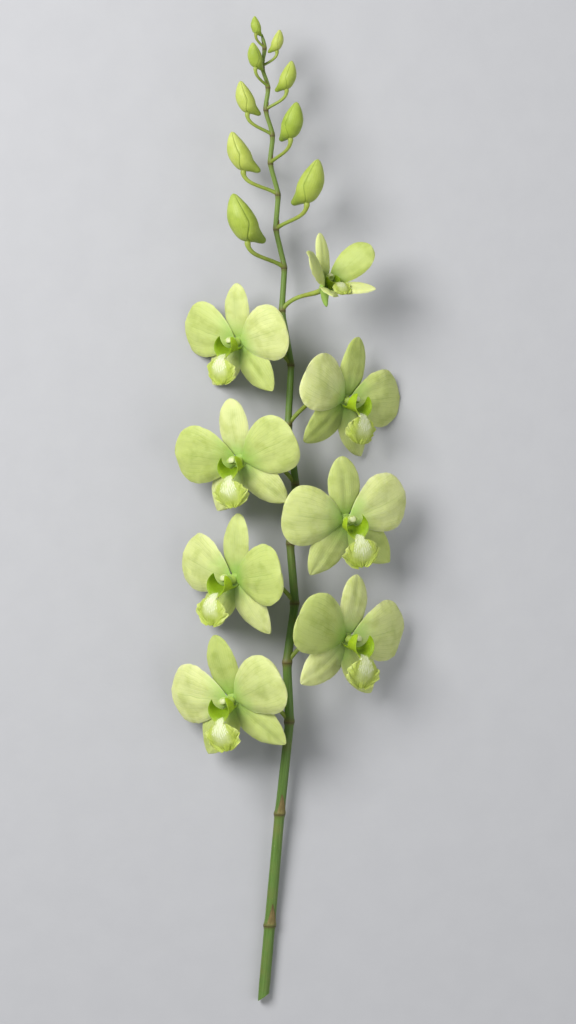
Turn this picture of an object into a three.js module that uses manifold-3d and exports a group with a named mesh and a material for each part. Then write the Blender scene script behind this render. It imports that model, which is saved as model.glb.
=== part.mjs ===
// A cut dendrobium orchid stem, laid down: one flowering stem with open blooms, a bloom that is
// just opening and closed buds towards its tip. Millimetres, +Z up, the tip towards +Y.
import * as THREE from 'three';
import { mergeVertices } from 'three/addons/utils/BufferGeometryUtils.js';
import Module from 'manifold-3d';

const wasm = await Module();
wasm.setup();

// Driving dimensions of the stem
const BARE_LENGTH = 138; // cut end to the first flower's node
const BLOOM_COUNT = 7;
const BLOOM_GAP = 29.5; // node to node, along the flowers
const OPENING_GAP = 27; // last open flower's node to the opening one's
const BUD_COUNT = 9;
const FIRST_BUD_GAP = 21;
const BUD_GAP_SHRINK = 0.9; // each gap to the one before it
const STEM_RADIUS = { foot: 2.9, shoulder: 2.3, tip: 0.95 };
const ZIGZAG = 1.5; // each node steps this far away from its flower
const BOW = 11; // sideways sweep of the whole stem
const RISE = 15; // height of the axis over the surface, along the flowers
const CUT_SLANT = 0.7; // run of the slanted cut for each millimetre of width
const SHEATH_NODES = [36, 92]; // bare nodes, from the cut end
const STEM_SIDES = 10;
const STALK_SIDES = 6;

// Driving dimensions of a flower and its parts
const BLADE = 0.8;
const SEPAL = { length: 31, width: 16.5, foot: 2.2, rise: 0.55, fall: 0.55, lift: 16, bend: 34, cup: -1.1, wave: 0.5 };
const SIDE_SEPAL = { length: 31, width: 19, foot: 3.4, rise: 0.5, fall: 0.72, lift: 14, bend: 30, cup: -1.3, wave: 0.6 };
const PETAL = { length: 33.5, width: 30, foot: 1.8, rise: 0.78, fall: 0.42, lift: 24, bend: 42, cup: -2.2, wave: 1.2 };
const PETAL_SPREAD = 74; // degrees from the top sepal to each petal
const SIDE_SEPAL_SPREAD = 139;
const ROOT_RADIUS = 1.9; // the blades start this far from the flower's axis
const PETAL_LAYER = 1.3; // petals stand this far in front of the sepals
const LIP_LENGTH = 29;
const LIP_START = new THREE.Vector3(0, -3.1, 2.5);
const NECK_FRONT = new THREE.Vector3(0, 0.4, 2);
const COLUMN_START = new THREE.Vector3(0, 0.5, 2.3);
const COLUMN_TIP = new THREE.Vector3(0, 2.6, 10);
const NECK_BEND = new THREE.Vector3(0, 0.4, -2);
const NECK_END = new THREE.Vector3(0, 1.6, -5); // where the flower stalk meets the flower
const CHIN_TIP = new THREE.Vector3(0, -8.5, -7.5);
const SEAT_GAP = 0.3; // parts that touch stay this far apart
const BUD_LENGTH = { first: 24, last: 8.5 };

// One entry for each open flower, from the cut end up. side -1 is left; reach is the stalk's angle from
// straight up, stalk its length, turn how far the face looks sideways, nod how far it looks down the
// stem, roll its turn in its own plane. A flower that rests is let down until it touches the surface.
const BLOOMS = [
  { side: -1, reach: 60, stalk: 34, turn: 30, nod: 16, roll: 8, size: 1.02 },
  { side: 1, reach: 62, stalk: 35, turn: 38, nod: 10, roll: -6, size: 1.03 },
  { side: -1, reach: 66, stalk: 34, turn: 42, nod: 8, roll: -8, size: 1.0 },
  { side: 1, reach: 58, stalk: 34, turn: 24, nod: 12, roll: 10, size: 1.0 },
  { side: -1, reach: 60, stalk: 33, turn: 28, nod: 14, roll: 6, size: 0.98 },
  { side: 1, reach: 64, stalk: 33, turn: 42, nod: 8, roll: -10, size: 0.97, rests: true },
  { side: -1, reach: 58, stalk: 32, turn: 38, nod: 10, roll: -4, size: 0.93, rests: true },
];
const OPENING = {
  side: 1, reach: 52, stalk: 29, turn: 30, nod: -34, roll: 12, size: 0.84,
  shape: { open: 44, narrow: 0.62, lipSize: 0.66 },
};
const STALK_CLIMB = 20; // degrees that a flower's stalk climbs towards the tip

const COLOURS = {
  stem: { color: 0x5d7c33, roughness: 0.5, metalness: 0 },
  petals: { color: 0xc3d283, roughness: 0.55, metalness: 0 },
  lip: { color: 0xb7c83f, roughness: 0.5, metalness: 0 },
  column: { color: 0xdfe8b4, roughness: 0.45, metalness: 0 },
  bud: { color: 0xb3c551, roughness: 0.5, metalness: 0 },
};

const radians = THREE.MathUtils.degToRad;
const mix = THREE.MathUtils.lerp;
const smooth = THREE.MathUtils.smoothstep;
const vec = (x, y, z) => new THREE.Vector3(x, y, z);

// A closed geometry from loose corner points and triangles.
function closedGeometry(points, triangles) {
  const geometry = new THREE.BufferGeometry().setFromPoints(points);
  geometry.setIndex(triangles.flat());
  return geometry;
}

// Skin over rings with the same number of points, closed with a flat end at each side.
function loft(rings) {
  const sides = rings[0].length;
  const triangles = [];
  for (let r = 0; r + 1 < rings.length; r++) {
    for (let s = 0; s < sides; s++) {
      const a = r * sides + s;
      const b = r * sides + ((s + 1) % sides);
      triangles.push([a, b, b + sides], [a, b + sides, a + sides]);
    }
  }
  const last = (rings.length - 1) * sides;
  for (let s = 1; s + 1 < sides; s++) {
    triangles.push([0, s + 1, s], [last, last + s, last + s + 1]);
  }
  return closedGeometry(rings.flat(), triangles);
}

// A ring of points round centre, in the plane of right and up; half-widths are along each.
function ring(centre, right, up, sides, halfRight, halfUp) {
  return Array.from({ length: sides }, (_, s) => {
    const a = (2 * Math.PI * s) / sides;
    return centre
      .clone()
      .addScaledVector(right, halfRight * Math.cos(a))
      .addScaledVector(up, halfUp * Math.sin(a));
  });
}

// A tube along a curve; radius(t) may change along it, and flat squeezes it along its own up.
function tube(curve, steps, sides, radius, flat = 1) {
  const frames = curve.computeFrenetFrames(steps, false);
  const rings = [];
  for (let i = 0; i <= steps; i++) {
    const t = i / steps;
    const r = radius(t);
    rings.push(ring(curve.getPointAt(t), frames.normals[i], frames.binormals[i], sides, r, r * flat));
  }
  return loft(rings);
}

// A thin blade over the surface point(u, v), u from 0 to 1 along it and v from -1 to 1 across. Both
// faces are split into triangles alike; crowding over 1 brings its rows closer towards its tip.
function blade(point, rows, columns, crowding = 1) {
  const step = 1e-3;
  const faces = [[], []];
  for (let i = 0; i <= rows; i++) {
    for (let j = 0; j <= columns; j++) {
      const u = 1 - (1 - i / rows) ** crowding;
      const v = (2 * j) / columns - 1;
      const along = point(Math.min(u + step, 1), v).sub(point(Math.max(u - step, 0), v));
      const across = point(u, v + step).sub(point(u, v - step));
      const normal = across.cross(along).normalize();
      const middle = point(u, v);
      faces[0].push(middle.clone().addScaledVector(normal, BLADE / 2));
      faces[1].push(middle.clone().addScaledVector(normal, -BLADE / 2));
    }
  }
  const wide = columns + 1;
  const back = faces[0].length;
  const triangles = [];
  for (let i = 0; i < rows; i++) {
    for (let j = 0; j < columns; j++) {
      const a = i * wide + j;
      const [b, c, d] = [a + 1, a + wide + 1, a + wide];
      triangles.push([a, b, c], [a, c, d], [back + a, back + c, back + b], [back + a, back + d, back + c]);
    }
  }
  const rim = [];
  for (let j = 0; j < columns; j++) rim.push(j);
  for (let i = 0; i < rows; i++) rim.push(i * wide + columns);
  for (let j = columns; j > 0; j--) rim.push(rows * wide + j);
  for (let i = rows; i > 0; i--) rim.push(i * wide);
  rim.forEach((a, k) => {
    const b = rim[(k + 1) % rim.length];
    triangles.push([a, back + a, back + b], [a, back + b, b]);
  });
  return closedGeometry(faces.flat(), triangles);
}

// A geometry as a solid that can be joined and cut, with its faces turned out.
function solid(geometry) {
  const merged = mergeVertices(geometry, 1e-4);
  const vertProperties = new Float32Array(merged.attributes.position.array);
  const triVerts = new Uint32Array(merged.index.array);
  const made = () => new wasm.Manifold(new wasm.Mesh({ numProp: 3, vertProperties, triVerts }));
  if (made().volume() > 0) return made();
  for (let i = 0; i < triVerts.length; i += 3) {
    [triVerts[i + 1], triVerts[i + 2]] = [triVerts[i + 2], triVerts[i + 1]];
  }
  return made();
}

// Several geometries grown together, back as one geometry, without slivers.
function grown(geometries) {
  const joined = geometries.map(solid).reduce((a, b) => a.add(b));
  const mesh = joined.simplify(0.02).getMesh();
  return new THREE.BufferGeometry()
    .setAttribute('position', new THREE.BufferAttribute(mesh.vertProperties, 3))
    .setIndex(new THREE.BufferAttribute(mesh.triVerts, 1));
}

function named(name, geometry, finish) {
  const mesh = new THREE.Mesh(geometry, new THREE.MeshStandardMaterial(COLOURS[finish]));
  mesh.name = name;
  return mesh;
}

// Small growth differences between flowers and between their blades, by rule.
const sway = (flower, piece) => Math.sin(2.4 * flower + 1.7 * piece);

// Half-width of a petal or sepal at u: it widens from its foot and rounds off at its tip.
function bladeHalfWidth(kind, u) {
  const peak = kind.rise / (kind.rise + kind.fall);
  const outline = (u / peak) ** kind.rise * Math.max((1 - u) / (1 - peak), 0) ** kind.fall;
  return Math.max((kind.width / 2) * outline, kind.foot * (1 - u), 0.45);
}

// A petal's or sepal's middle surface. It leaves the flower's axis at an angle, arches back towards
// its tip, curves across and waves along its edges.
function bladeSurface(kind, angle, layer, open, flower, piece) {
  const lift = radians(kind.lift + open + 3 * sway(flower, piece));
  const bend = radians(kind.bend + 6 * sway(flower, piece + 3));
  const turn = -radians(angle);
  const length = kind.length * (1 + 0.03 * sway(flower, piece + 5));
  return (u, v) => {
    const slope = lift - bend * u;
    const out = (length / bend) * (Math.sin(lift) - Math.sin(slope));
    const rise = (length / bend) * (Math.cos(slope) - Math.cos(lift));
    const halfWidth = bladeHalfWidth(kind, u);
    const across = v * halfWidth;
    const wave = kind.wave * u * Math.sin(5.5 * u + 1.6 * Math.sign(v) + flower + piece);
    const height = (kind.cup + wave) * v * v * (halfWidth / (kind.width / 2));
    return vec(across, ROOT_RADIUS + out - height * Math.sin(slope), layer + rise + height * Math.cos(slope))
      .applyAxisAngle(vec(0, 0, 1), turn);
  };
}

// The flower's neck and the blunt chin behind it, which the side sepals grow from.
function neckAndChin() {
  const neck = new THREE.QuadraticBezierCurve3(NECK_FRONT, NECK_BEND, NECK_END);
  const chin = new THREE.QuadraticBezierCurve3(vec(0, -0.3, 0.9), vec(0, -1.5, -5), CHIN_TIP);
  return [
    tube(neck, 3, 8, (t) => mix(3.5, 1.5, t * t)),
    tube(chin, 3, 7, (t) => mix(3.1, 0.9, t ** 1.6)),
  ];
}

// Sepals and petals of one flower, grown together at its neck. open is added to each blade's lift.
function petalsOf(flower, open = 0, narrow = 1) {
  const shaped = (kind) => ({ ...kind, width: kind.width * narrow });
  const pieces = [
    [SEPAL, 0, 0],
    [PETAL, PETAL_SPREAD, PETAL_LAYER],
    [PETAL, -PETAL_SPREAD, PETAL_LAYER],
    [SIDE_SEPAL, SIDE_SEPAL_SPREAD, 0],
    [SIDE_SEPAL, -SIDE_SEPAL_SPREAD, 0],
  ];
  const blades = pieces.map(([kind, angle, layer], piece) => {
    const [rows, columns] = kind === PETAL ? [6, 4] : [5, 2];
    return blade(bladeSurface(shaped(kind), angle, layer, open, flower, piece), rows, columns, 1.35);
  });
  return grown([...neckAndChin(), ...blades]);
}

// Half-width of the lip, measured round its curve: side lobes, a waist, then the front lobe.
function lipHalfWidth(u) {
  const sideLobes = 12.5 * Math.exp(-(((u - 0.29) / 0.14) ** 2));
  const frontLobe = 10 * Math.sqrt(Math.max(1 - ((u - 0.76) / 0.25) ** 2, 0));
  const waist = 3.2 - 2 * u;
  return Math.cbrt(sideLobes ** 3 + frontLobe ** 3 + waist ** 3);
}

// How far the lip has turned from straight forward to hanging, at u.
const lipTurn = (u) => radians(8 + 82 * smooth(u, 0.3, 0.8) + 14 * u * u);

// The lip's middle line, from its hinge: forward under the column, then down.
function lipMiddle(u) {
  const steps = 24;
  const at = LIP_START.clone();
  for (let i = 0; i < steps; i++) {
    const turn = lipTurn((u * (i + 0.5)) / steps);
    at.addScaledVector(vec(0, -Math.sin(turn), Math.cos(turn)), (LIP_LENGTH * u) / steps);
  }
  return at;
}

// The lip's surface: the side lobes roll up round the column, the front lobe spreads and waves.
function lipSurface(flower) {
  return (u, v) => {
    const turn = lipTurn(u);
    const around = v * lipHalfWidth(u);
    const roll = mix(1 / 5.4, -1 / 26, smooth(u, 0.34, 0.6));
    const across = Math.abs(roll) < 1e-4 ? around : Math.sin(roll * around) / roll;
    const curl = Math.abs(roll) < 1e-4 ? 0 : (1 - Math.cos(roll * around)) / roll;
    const wave = 1.0 * smooth(u, 0.6, 0.9) * v * v * Math.sin(7 * v + flower);
    return lipMiddle(u).add(
      vec(across, (curl + wave) * Math.cos(turn), (curl + wave) * Math.sin(turn)),
    );
  };
}

// The white keels that run down the middle of the lip.
function lipKeels(flower) {
  const surface = lipSurface(flower);
  return [-0.3, 0, 0.3].map((v) => {
    const rings = [];
    for (let i = 0; i <= 3; i++) {
      const u = mix(0.36, 0.74, i / 3);
      const spread = (v * 8) / lipHalfWidth(u);
      const root = surface(u, spread);
      const turn = lipTurn(u);
      const up = vec(0, Math.cos(turn), Math.sin(turn));
      const height = 0.5 + 1.5 * Math.sin((Math.PI * (i + 0.4)) / 3.8);
      rings.push([
        root.clone().addScaledVector(up, height),
        root.clone().addScaledVector(up, -0.2).add(vec(-0.75, 0, 0)),
        root.clone().addScaledVector(up, -0.2).add(vec(0.75, 0, 0)),
      ]);
    }
    return loft(rings);
  });
}

const lipOf = (flower) => grown([blade(lipSurface(flower), 8, 6), ...lipKeels(flower)]);

// The column over the lip, with its rounded cap.
function columnOf() {
  const middle = new THREE.QuadraticBezierCurve3(COLUMN_START, vec(0, 0.5, 5.5), COLUMN_TIP);
  const radius = (t) => mix(1.6, 2.5, smooth(t, 0, 0.75)) * (t > 0.9 ? 0.55 : 1);
  return tube(middle, 5, 8, radius, 0.85);
}

// Lays out the stem's nodes from the cut end: bare ones, flowers, the opening flower, buds and tip.
function stemStations() {
  const stations = SHEATH_NODES.map((y) => ({ y, side: 0 }));
  let y = BARE_LENGTH;
  BLOOMS.forEach((bloom, i) => stations.push({ y: y + i * BLOOM_GAP, side: bloom.side, bloom: i }));
  y += (BLOOM_COUNT - 1) * BLOOM_GAP + OPENING_GAP;
  stations.push({ y, side: OPENING.side, opening: true });
  let gap = FIRST_BUD_GAP;
  for (let i = 0; i < BUD_COUNT; i++) {
    y += gap;
    gap *= BUD_GAP_SHRINK;
    stations.push({ y, side: i % 2 ? 1 : -1, bud: i });
  }
  return { stations, tip: y + 7 };
}

const { stations, tip: TIP } = stemStations();

const FOOT_HEIGHT = STEM_RADIUS.foot * Math.cos(Math.PI / STEM_SIDES);

// The stem's axis: it sweeps sideways, lifts off the surface and steps at each node.
function axisPoint(y, side = 0) {
  const t = y / TIP;
  const sweep = BOW * Math.sin(1.25 * Math.PI * t - 0.35) + BOW * 0.34;
  const height = mix(FOOT_HEIGHT, RISE, smooth(t, 0.02, 0.42)) + 9 * smooth(t, 0.6, 1);
  return vec(sweep - side * ZIGZAG, y, height);
}

const stemRadius = (y) =>
  y < BARE_LENGTH
    ? mix(STEM_RADIUS.foot, STEM_RADIUS.shoulder, y / BARE_LENGTH)
    : mix(STEM_RADIUS.shoulder, STEM_RADIUS.tip, (y - BARE_LENGTH) / (TIP - BARE_LENGTH));

// The main stem as a skin over rings, a swollen one at each node and a slanted one at the cut.
function mainStem() {
  const rings = [];
  const ringAt = (point, radius, slant = 0) =>
    ring(point, vec(1, 0, 0), vec(0, 0, 1), STEM_SIDES, radius, radius).map((p) =>
      p.setY(p.y + slant * (p.x - point.x)),
    );
  rings.push(ringAt(axisPoint(0), STEM_RADIUS.foot, CUT_SLANT));
  let before = 0;
  stations.forEach(({ y, side }) => {
    const radius = stemRadius(y);
    const swell = Math.min(3, (y - before) / 4);
    const low = axisAt(y - swell);
    rings.push(ringAt(low, stemRadius(y - swell)));
    rings.push(ringAt(axisPoint(y, side), radius * 1.22));
    rings.push(ringAt(axisAt(y + swell), stemRadius(y + swell) * 1.04));
    before = y + swell;
  });
  rings.push(ringAt(axisPoint(TIP), STEM_RADIUS.tip * 0.5));
  return loft(rings);
}

// The axis at height y, between its nodes.
function axisAt(y) {
  const all = [axisPoint(0), ...stations.map((s) => axisPoint(s.y, s.side)), axisPoint(TIP)];
  const next = all.findIndex((p) => p.y >= y);
  if (next <= 0) return all[0].clone();
  const [a, b] = [all[next - 1], all[next]];
  return a.clone().lerp(b, (y - a.y) / (b.y - a.y));
}

// A small pointed bract under a node, on the side that its flower grows from.
function bract(y, side, out, length) {
  const foot = axisPoint(y, side);
  const radius = stemRadius(y);
  const across = vec(0, 1, 0).cross(out).normalize();
  const rings = [0, 0.5, 1].map((t) => {
    const centre = foot
      .clone()
      .addScaledVector(out, radius * 0.7 + 1.5 * t)
      .add(vec(0, length * (t - 0.25), 0));
    return ring(centre, across, out, 4, mix(radius * 0.95, 0.35, t), mix(0.9, 0.3, t));
  });
  return loft(rings.map((points) => points.reverse()));
}

// A stalk from its node out to where it carries a flower or bud, arriving along facing.
function stalk(start, leave, end, facing, radius) {
  const length = start.distanceTo(end);
  const curve = new THREE.CubicBezierCurve3(
    start,
    start.clone().addScaledVector(leave, length * 0.42),
    end.clone().addScaledVector(facing, -length * 0.42),
    end,
  );
  return tube(curve, 6, STALK_SIDES, (t) => radius * mix(1, 1.25, smooth(t, 0.5, 0.95)));
}

// The direction that a flower or bud stands off the stem.
function reachDirection(side, reach, climb) {
  return vec(
    side * Math.sin(radians(reach)) * Math.cos(radians(climb)),
    Math.sin(radians(climb)),
    Math.cos(radians(reach)) * Math.cos(radians(climb)),
  );
}

// Grows an open or opening flower: its group, placed, and its stalk.
function growBloom(spec, index, name, y, { open = 0, narrow = 1, lipSize = 1 } = {}) {
  const group = new THREE.Group();
  const petals = named(name + '_petals', petalsOf(index, open, narrow), 'petals');
  const lip = named(name + '_lip', lipOf(index), 'lip');
  lip.position.copy(LIP_START).multiplyScalar(1 - lipSize);
  lip.scale.setScalar(lipSize);
  group.add(petals, lip, named(name + '_column', grown([columnOf()]), 'column'));
  group.scale.setScalar(spec.size);
  group.rotation.set(radians(spec.nod), spec.side * radians(spec.turn), radians(spec.roll), 'YXZ');
  const start = axisPoint(y, spec.side);
  const out = reachDirection(spec.side, spec.reach, STALK_CLIMB);
  group.position.copy(start).addScaledVector(out, spec.stalk);
  group.updateMatrixWorld(true);
  if (spec.rests) {
    group.position.z -= new THREE.Box3().setFromObject(petals, true).min.z;
    group.updateMatrixWorld(true);
  }
  const facing = NECK_BEND.clone().sub(NECK_END).transformDirection(group.matrixWorld);
  const end = group.localToWorld(NECK_END.clone()).addScaledVector(facing, -SEAT_GAP);
  const leave = reachDirection(spec.side, spec.reach + 12, 50);
  return { group, parts: [stalk(start, leave, end, facing, 1.05), bract(y, spec.side, leave, 6)] };
}

// A closed bud: it grows from the tip of its chin, bends over its stalk and ends in a soft point.
function budOf(length) {
  const size = length / 27;
  const middle = new THREE.CatmullRomCurve3(
    [vec(0, -8.5, -6.5), vec(0, -5, -2.2), vec(0, -1.4, 3.4), vec(0, 0.5, 10.5), vec(0, 0.4, 18.5), vec(0, -0.6, 26)]
      .map((p) => p.multiplyScalar(size)),
  );
  const outline = [1.5, 3.2, 5.2, 7.1, 8.1, 8.2, 7.6, 6.1, 4.0, 1.2];
  const radius = (t) => {
    const at = t * (outline.length - 1);
    const low = Math.min(Math.floor(at), outline.length - 2);
    return size * mix(outline[low], outline[low + 1], at - low);
  };
  return tube(middle, outline.length - 1, 8, radius, 0.9);
}

const BUD_SEAT = vec(0, -1, 3); // the point of a full-size bud that its stalk heads for
const BUD_SEAT_WAY = vec(0, -0.62, 0.78).normalize();

function growBud(i, y, side) {
  const t = i / (BUD_COUNT - 1);
  const length = mix(BUD_LENGTH.first, BUD_LENGTH.last, t ** 0.9);
  const size = length / 27;
  const reach = 62 + 22 * sway(i, 2);
  const start = axisPoint(y, side);
  const out = reachDirection(side, reach, mix(34, 52, t));
  const mesh = named('bud_' + (i + 1), grown([budOf(length)]), 'bud');
  const lean = mix(26, 12, t);
  const up = reachDirection(side, reach, 90 - lean);
  const inward = vec(-side * Math.sin(radians(reach)), 0, -Math.cos(radians(reach)));
  const chin = inward.clone().addScaledVector(up, -inward.dot(up)).normalize();
  const right = up.clone().cross(chin).normalize();
  mesh.quaternion.setFromRotationMatrix(new THREE.Matrix4().makeBasis(right, chin.negate(), up));
  mesh.position.copy(start).addScaledVector(out, mix(25, 9, t));
  mesh.updateMatrixWorld(true);
  const facing = BUD_SEAT_WAY.clone().transformDirection(mesh.matrixWorld);
  const outside = mesh.localToWorld(BUD_SEAT.clone().multiplyScalar(size)).addScaledVector(facing, -30);
  const seat = new THREE.Raycaster(outside, facing).intersectObject(mesh)[0].point;
  const end = seat.addScaledVector(facing, -SEAT_GAP);
  const leave = reachDirection(side, reach + 8, 30);
  const parts = [stalk(start, leave, end, facing, mix(1.0, 0.6, t)), bract(y, side, leave, mix(4.5, 2.5, t))];
  return { mesh, parts };
}

const root = new THREE.Group();
const stemParts = [mainStem()];
for (const { y, side, bloom, bud, opening } of stations) {
  if (bloom !== undefined) {
    const grownBloom = growBloom(BLOOMS[bloom], bloom, 'bloom_' + (bloom + 1), y);
    root.add(grownBloom.group);
    stemParts.push(...grownBloom.parts);
  } else if (opening) {
    const grownBloom = growBloom(OPENING, BLOOM_COUNT, 'opening_bloom', y, OPENING.shape);
    root.add(grownBloom.group);
    stemParts.push(...grownBloom.parts);
  } else if (bud !== undefined) {
    const grownBud = growBud(bud, y, side);
    root.add(grownBud.mesh);
    stemParts.push(...grownBud.parts);
  } else {
    stemParts.push(bract(y, 0, vec(0.4, 0, 0.9).normalize(), 11));
  }
}
root.add(named('stem', grown(stemParts), 'stem'));

// The origin lies under the middle of the whole stem's box, on the surface.
root.updateMatrixWorld(true);
const box = new THREE.Box3().setFromObject(root, true);
root.position.set(-(box.min.x + box.max.x) / 2, -(box.min.y + box.max.y) / 2, -box.min.z);

export default root;
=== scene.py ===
"""A cut dendrobium orchid stem lying on its side, seen from above.

The blooms, buds and stem are built in millimetres in the stem's own layout, from its cut end to its
tip, and then set on the solids of the frame, which has its origin under the middle of the stem.
"""

import math
from dataclasses import dataclass

import bmesh
import bpy
import numpy as np
from mathutils import Matrix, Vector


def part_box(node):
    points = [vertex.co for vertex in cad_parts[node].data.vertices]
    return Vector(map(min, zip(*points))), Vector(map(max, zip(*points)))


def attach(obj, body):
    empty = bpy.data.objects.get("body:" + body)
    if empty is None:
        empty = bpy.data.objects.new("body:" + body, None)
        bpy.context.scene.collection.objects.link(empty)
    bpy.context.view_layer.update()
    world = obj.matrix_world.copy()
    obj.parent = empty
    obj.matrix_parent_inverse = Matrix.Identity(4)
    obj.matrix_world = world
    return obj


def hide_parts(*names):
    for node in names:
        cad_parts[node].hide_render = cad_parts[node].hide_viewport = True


bl_info = {
    "name": "Cut Orchid Stem",
    "version": (1, 0, 0),
    "blender": (4, 5, 0),
    "location": "3D View > Sidebar > Orchid",
    "description": "Builds a cut dendrobium orchid stem with open blooms and buds",
    "category": "Add Mesh",
}

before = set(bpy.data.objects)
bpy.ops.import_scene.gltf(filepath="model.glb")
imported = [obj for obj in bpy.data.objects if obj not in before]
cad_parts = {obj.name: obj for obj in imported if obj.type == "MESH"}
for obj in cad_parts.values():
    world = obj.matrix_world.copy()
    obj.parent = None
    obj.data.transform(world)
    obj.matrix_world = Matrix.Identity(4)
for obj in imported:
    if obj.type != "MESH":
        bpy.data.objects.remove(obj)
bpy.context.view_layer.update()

MM = 0.001
X, Y, Z = np.eye(3)
SHARP_ANGLE = math.radians(50)


# Layout of the stem, from its cut end towards its tip, in millimetres and degrees

BARE_LENGTH = 138.0
BLOOM_GAP = 29.5
OPENING_GAP = 27.0
BUD_COUNT = 9
FIRST_BUD_GAP = 21.0
BUD_GAP_SHRINK = 0.9
BARE_NODES = (36.0, 92.0)
TIP_LENGTH = 7.0
ZIGZAG = 1.5
BOW = 11.0
RISE = 15.0
TIP_RISE = 9.0
CUT_SLANT = 0.7
FOOT_RADIUS = 2.9
SHOULDER_RADIUS = 2.3
TIP_RADIUS = 0.95
FOOT_SIDES = 10
FOOT_HEIGHT = FOOT_RADIUS * math.cos(math.pi / FOOT_SIDES)
NODE_SWELL = 0.2
STALK_CLIMB = 20.0
FLOOR_TOUCH = 0.4
BLOOM_BRACT = 6.0
BARE_BRACT = 11.0
BARE_BRACT_FOOT = 0.3


# One bloom in its own layout, in millimetres, degrees and shares: it faces +Z, with its top to +Y

NECK_FRONT = np.array((0.0, 0.4, 2.0))
NECK_BEND = np.array((0.0, 0.4, -2.0))
NECK_END = np.array((0.0, 1.6, -5.0))
CHIN_START = (0.0, -0.3, 0.9)
CHIN_BEND = (0.0, -1.5, -5.0)
CHIN_TIP = (0.0, -8.5, -7.5)
LIP_START = np.array((0.0, -3.1, 2.5))
COLUMN_START = (0.0, 0.5, 2.3)
COLUMN_BEND = (0.0, 0.5, 5.5)
COLUMN_TIP = (0.0, 2.6, 10.0)
ROOT_RADIUS = 1.9
PETAL_LAYER = 1.3
PETAL_SPREAD = 74.0
SIDE_SEPAL_SPREAD = 139.0
SIDE_SEPAL_SHARE = 19 / 16.5
WIDE_BLADE = 22.0
BLADE_POINT = 0.12
BLADE_RIM = 0.16
CREASE_WIDTH = 1.5
VEIN_SPREAD = 0.38
NECK_TONE = 0.6
SIDE_LOBE_HALF = 12.5
FRONT_LOBE_HALF = 10.0
LIP_WAIST_HALF = 3.2
SIDE_LOBE_ROLL = 5.4
FRONT_LOBE_ROLL = 26.0
LIP_RIM = 0.2
KEEL_WIDTH = 0.34
KEEL_HEIGHT = 1.75
WART_HEIGHT = 0.18
CAP_START = 0.87


@dataclass
class Bloom:
    """One bloom: its side of the stem, how its stalk stands, how it faces, its size and how it opens."""

    name: str
    index: int
    side: int
    reach: float
    stalk: float
    turn: float
    nod: float
    roll: float
    size: float
    rests: bool = False
    raised: float = 0.0
    narrow: float = 1.0
    lip_size: float = 1.0


BLOOMS = [
    Bloom("bloom_1", 0, -1, 60, 34, 30, 16, 8, 1.02),
    Bloom("bloom_2", 1, 1, 62, 35, 38, 10, -6, 1.03),
    Bloom("bloom_3", 2, -1, 66, 34, 42, 8, -8, 1.0),
    Bloom("bloom_4", 3, 1, 58, 34, 24, 12, 10, 1.0),
    Bloom("bloom_5", 4, -1, 60, 33, 28, 14, 6, 0.98),
    Bloom("bloom_6", 5, 1, 64, 33, 42, 8, -10, 0.97, rests=True),
    Bloom("bloom_7", 6, -1, 58, 32, 38, 10, -4, 0.93, rests=True),
    Bloom("opening_bloom", 7, 1, 52, 29, 30, -34, 12, 0.84, raised=44.0, narrow=0.62, lip_size=0.66),
]


# Small sums

def smooth(x, low, high):
    """Rises smoothly from 0 at low to 1 at high; high may be below low."""
    t = np.clip((x - low) / (high - low), 0.0, 1.0)
    return t * t * (3 - 2 * t)


def mix(a, b, t):
    return a + (b - a) * t


def sway(flower, piece):
    """A growth difference between flowers and between their blades, from -1 to 1."""
    return math.sin(2.4 * flower + 1.7 * piece)


def unit(vector):
    return vector / np.linalg.norm(vector)


def ripple(x, seed):
    """A gentle irregular wave along x, the same at each run."""
    return np.sin(x + seed) * 0.5 + np.sin(2.3 * x + 2.1 * seed) * 0.3 + np.sin(4.1 * x + 0.7 * seed) * 0.2


def hump(x, width):
    """1 where x is 0, falling smoothly away over the width."""
    return np.exp(-((x / width) ** 2))


def linear(code):
    """A colour written as six hexadecimal digits, as linear red, green and blue."""
    channels = [int(code[i : i + 2], 16) / 255 for i in (0, 2, 4)]
    return tuple(c / 12.92 if c <= 0.04045 else ((c + 0.055) / 1.055) ** 2.4 for c in channels)


# Sizes and colours that a user may change

def size_mm(name, description, default, low, high):
    return bpy.props.FloatProperty(
        name=name, description=description + ", in metres", default=default * MM,
        min=low * MM, max=high * MM, precision=5, unit="LENGTH",
    )


def colour(name, description, code):
    return bpy.props.FloatVectorProperty(
        name=name, description=description, default=linear(code), min=0, max=1, size=3, subtype="COLOR"
    )


def power(name, description, default):
    return bpy.props.FloatProperty(name=name, description=description, default=default, min=0, unit="POWER")


def distance(name, description, default, low):
    return bpy.props.FloatProperty(
        name=name, description=description, default=default, min=low, unit="LENGTH", subtype="DISTANCE"
    )


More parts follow.
